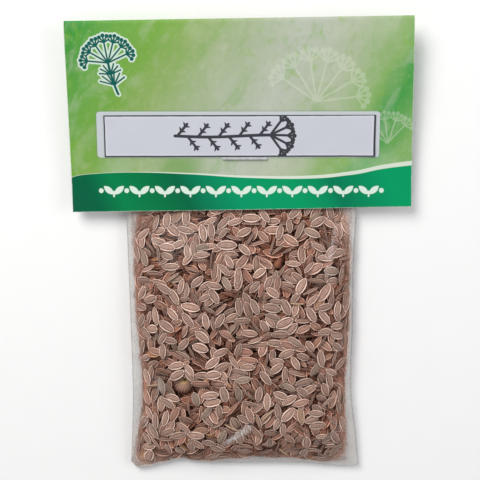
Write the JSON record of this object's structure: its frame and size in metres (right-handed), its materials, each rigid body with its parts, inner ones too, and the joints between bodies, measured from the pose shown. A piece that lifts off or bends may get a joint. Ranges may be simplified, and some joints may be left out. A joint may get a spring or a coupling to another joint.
{
  "type": "seed packet with a stapled header card",
  "caption": "Clear film sachet filled with dried dill seed, closed by a folded, stapled header card with a pasted paper slip. It lies flat on its back.",
  "frame": {"origin": "middle of the bounding box, on the surface that the packet lies on", "axes": "+Z out of the packet's front, away from the surface; +Y along the packet, from the bag's bottom towards the card's fold; +X to the right as seen from the front"},
  "size_m": [0.09, 0.123, 0.0114],
  "materials": {
    "dill_seed": "dry, ribbed, matt",
    "round_seed": "dry, ribbed, matt",
    "clear_film": "thin clear glossy film",
    "printed_card": "coated print, satin",
    "slip_paper": "plain paper, matt",
    "staple_wire": "zinc plated wire"
  },
  "bodies": {
    "root": {"seed_fill": "dill_seed", "stray_round_seed": "round_seed", "bag": "clear_film", "header_card": "printed_card", "name_slip": "slip_paper", "staple": "staple_wire"}
  },
  "joints": []
}
